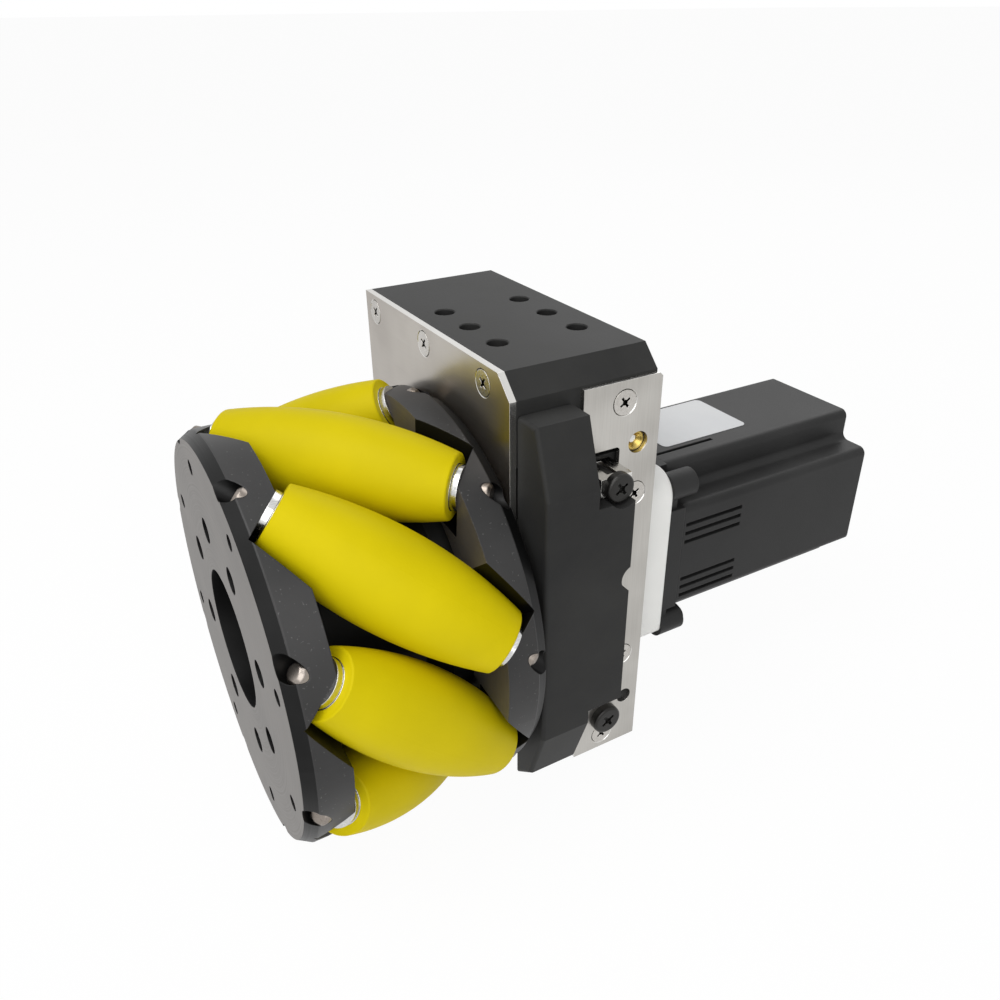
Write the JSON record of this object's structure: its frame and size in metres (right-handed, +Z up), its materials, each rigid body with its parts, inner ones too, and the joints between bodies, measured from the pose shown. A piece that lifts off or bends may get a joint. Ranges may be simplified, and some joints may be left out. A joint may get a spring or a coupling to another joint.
{
  "type": "mecanum wheel",
  "caption": "Omnidirectional roller wheel with slanted barrel rollers, on a sprung slide housing with a gearbox and motor, bolted under a robot chassis",
  "frame": {"origin": "centre of the six chassis holes, on the flat top face of the housing", "axes": "+Z up, out of the top face; +Y along the wheel axis from the wheel to the motor; +X to the side of the stainless front plate and the guide shoe"},
  "size_m": [0.127, 0.222, 0.1405],
  "materials": {
    "black_aluminium": "satin black anodised",
    "disc_aluminium": "satin dark anodised, turned face",
    "stainless": "brushed",
    "bright_steel": "ground",
    "screw_steel": "bright",
    "black_screw": "black oxide",
    "spring_steel": "oiled",
    "brass": "plain",
    "yellow_rubber": "matt",
    "black_plastic": "fine grain",
    "white_metal": "satin",
    "label": "gloss"
  },
  "bodies": {
    "housing": {"top_block": "black_aluminium", "back_post": "black_aluminium", "base_bar": "black_aluminium", "front_rail": "black_aluminium", "wheel_side_plate": "stainless", "front_plate": "stainless", "side_plate_screws": "screw_steel", "front_plate_screws": "screw_steel", "front_plate_pan_screw": "black_screw", "index_plunger": "brass", "plunger_pin": "bright_steel", "guide_rods": "bright_steel", "front_spring": "spring_steel", "back_spring": "spring_steel"},
    "carriage": {"bearing_carrier": "black_aluminium", "spacer_ring": "black_aluminium", "shaft_bearings": "bright_steel", "slide_bushes": "bright_steel", "guide_shoe": "black_aluminium", "stop_block": "stainless", "stop_screw": "black_screw", "gearbox_flange": "white_metal", "motor_bell": "black_plastic", "motor_cover": "black_plastic", "motor_screws": "black_screw", "motor_label": "label"},
    "wheel": {"outer_disc": "disc_aluminium", "inner_disc": "disc_aluminium", "wheel_hub": "black_aluminium", "hub_screws": "black_screw", "roller_axles": "bright_steel", "roller_washers": "bright_steel", "drive_shaft": "bright_steel", "shaft_end_washer": "black_screw", "shaft_end_bolt": "black_screw"},
    "roller_1": {"roller_tread_1": "yellow_rubber", "roller_core_1": "bright_steel"},
    "roller_2": {"roller_tread_2": "yellow_rubber", "roller_core_2": "bright_steel"},
    "roller_3": {"roller_tread_3": "yellow_rubber", "roller_core_3": "bright_steel"},
    "roller_4": {"roller_tread_4": "yellow_rubber", "roller_core_4": "bright_steel"},
    "roller_5": {"roller_tread_5": "yellow_rubber", "roller_core_5": "bright_steel"},
    "roller_6": {"roller_tread_6": "yellow_rubber", "roller_core_6": "bright_steel"},
    "roller_7": {"roller_tread_7": "yellow_rubber", "roller_core_7": "bright_steel"},
    "roller_8": {"roller_tread_8": "yellow_rubber", "roller_core_8": "bright_steel"}
  },
  "joints": [
    {"name": "suspension_slide", "type": "slide", "parent": "housing", "child": "carriage", "axis": [0, 0, 1], "range_m": [0, 0.003], "deforming": ["front_spring", "back_spring"]},
    {"name": "wheel_spin", "type": "hinge", "parent": "carriage", "child": "wheel", "pos_m": [0.004, -0.0596, -0.077], "axis": [0, 1, 0], "continuous": true},
    {"name": "roller_spin_1", "type": "hinge", "parent": "wheel", "child": "roller_1", "pos_m": [0.05343, -0.0596, -0.08263], "axis": [-0.08, 0.7071, -0.7026], "continuous": true},
    {"name": "roller_spin_2", "type": "hinge", "parent": "wheel", "child": "roller_2", "pos_m": [0.04293, -0.0596, -0.04603], "axis": [0.4402, 0.7071, -0.5534], "continuous": true},
    {"name": "roller_spin_3", "type": "hinge", "parent": "wheel", "child": "roller_3", "pos_m": [0.00963, -0.0596, -0.02757], "axis": [0.7026, 0.7071, -0.08], "continuous": true},
    {"name": "roller_spin_4", "type": "hinge", "parent": "wheel", "child": "roller_4", "pos_m": [-0.02697, -0.0596, -0.03807], "axis": [0.5534, 0.7071, 0.4402], "continuous": true},
    {"name": "roller_spin_5", "type": "hinge", "parent": "wheel", "child": "roller_5", "pos_m": [-0.04543, -0.0596, -0.07137], "axis": [0.08, 0.7071, 0.7026], "continuous": true},
    {"name": "roller_spin_6", "type": "hinge", "parent": "wheel", "child": "roller_6", "pos_m": [-0.03493, -0.0596, -0.10797], "axis": [-0.4402, 0.7071, 0.5534], "continuous": true},
    {"name": "roller_spin_7", "type": "hinge", "parent": "wheel", "child": "roller_7", "pos_m": [-0.00163, -0.0596, -0.12643], "axis": [-0.7026, 0.7071, 0.08], "continuous": true},
    {"name": "roller_spin_8", "type": "hinge", "parent": "wheel", "child": "roller_8", "pos_m": [0.03497, -0.0596, -0.11593], "axis": [-0.5534, 0.7071, -0.4402], "continuous": true}
  ]
}
